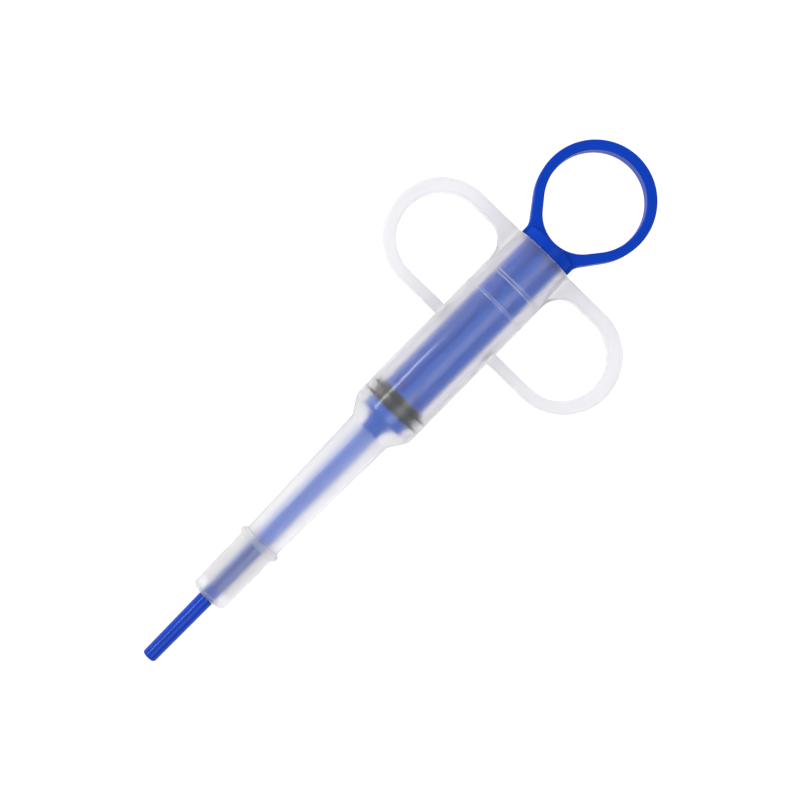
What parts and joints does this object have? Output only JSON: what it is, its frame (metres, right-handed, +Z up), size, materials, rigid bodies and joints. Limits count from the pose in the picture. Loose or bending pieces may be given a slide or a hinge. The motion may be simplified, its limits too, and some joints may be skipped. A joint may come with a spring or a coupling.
{
  "type": "oral syringe",
  "caption": "Push-rod oral dose syringe: frosted barrel with long nozzle and two finger loops, soft tip, rubber piston seal, and plunger with thumb ring and long push rod.",
  "frame": {"origin": "on the surface that the barrel lies on, under the middle of the object's length and width", "axes": "+X along the syringe's axis towards the thumb ring, +Y towards one finger loop, +Z up, square to the flat of the loops and the ring"},
  "size_m": [0.1996, 0.0826, 0.0209],
  "materials": {
    "barrel_plastic": "natural polypropylene, frosted and translucent, with a light gloss",
    "tip_silicone": "milky soft silicone, translucent and satin",
    "seal_rubber": "dark grey-green moulded rubber, satin",
    "plunger_plastic": "royal blue polypropylene, smooth with a soft gloss"
  },
  "bodies": {
    "barrel": {"barrel": "barrel_plastic"},
    "soft_tip": {"soft_tip": "tip_silicone"},
    "piston_seal": {"piston_seal": "seal_rubber"},
    "plunger": {"plunger": "plunger_plastic"}
  },
  "joints": [
    {"name": "plunger_slide", "type": "slide", "parent": "barrel", "child": "piston_seal", "axis": [1, 0, 0], "range_m": [0, 0.045]},
    {"name": "plunger_spin", "type": "hinge", "parent": "piston_seal", "child": "plunger", "pos_m": [-0.00108, 0, 0.01044], "axis": [1, 0, 0], "continuous": true},
    {"name": "soft_tip_pull_off", "type": "slide", "parent": "barrel", "child": "soft_tip", "axis": [-1, 0, 0], "range_m": [0, 0.018]}
  ]
}
